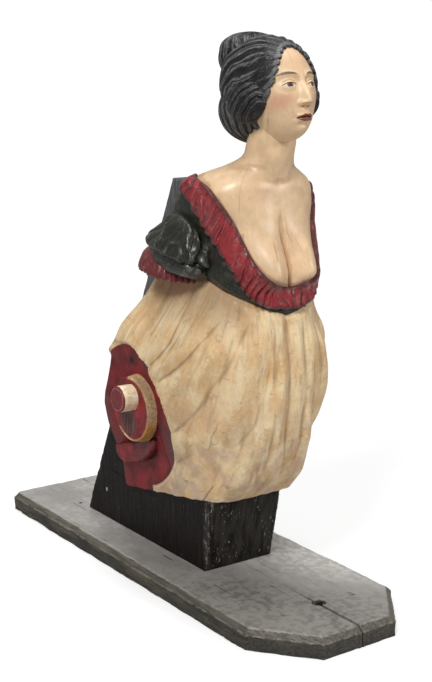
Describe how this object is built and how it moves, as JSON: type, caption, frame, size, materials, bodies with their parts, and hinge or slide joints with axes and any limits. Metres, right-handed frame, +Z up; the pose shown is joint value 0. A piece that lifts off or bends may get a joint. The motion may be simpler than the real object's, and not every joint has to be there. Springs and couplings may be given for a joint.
{
  "type": "ship figurehead",
  "caption": "Carved and painted half-length woman with puffed sleeves, ruffled neckline and fluted skirt, leaning forward from a notched post on a two-board base.",
  "frame": {"origin": "middle of the base's underside, on the surface that it stands on", "axes": "+Z up; -Y is the way the figure faces and leans; +X is the figure's left"},
  "size_m": [0.3686, 1.002, 1.0652],
  "materials": {
    "base_paint": "worn grey-brown paint",
    "post_paint": "worn black paint",
    "figure_paint": "aged cream, flesh, black and crimson paint",
    "scroll_paint": "worn crimson paint with a cream rim",
    "peg_paint": "cream paint with a crimson end",
    "leaf_paint": "worn crimson paint"
  },
  "bodies": {
    "root": {"base_board_right": "base_paint", "base_board_left": "base_paint", "stand_post": "post_paint", "figure": "figure_paint", "right_scroll": "scroll_paint", "left_scroll": "scroll_paint", "right_scroll_peg": "peg_paint", "left_scroll_peg": "peg_paint", "right_scroll_leaf": "leaf_paint", "left_scroll_leaf": "leaf_paint"}
  },
  "joints": []
}
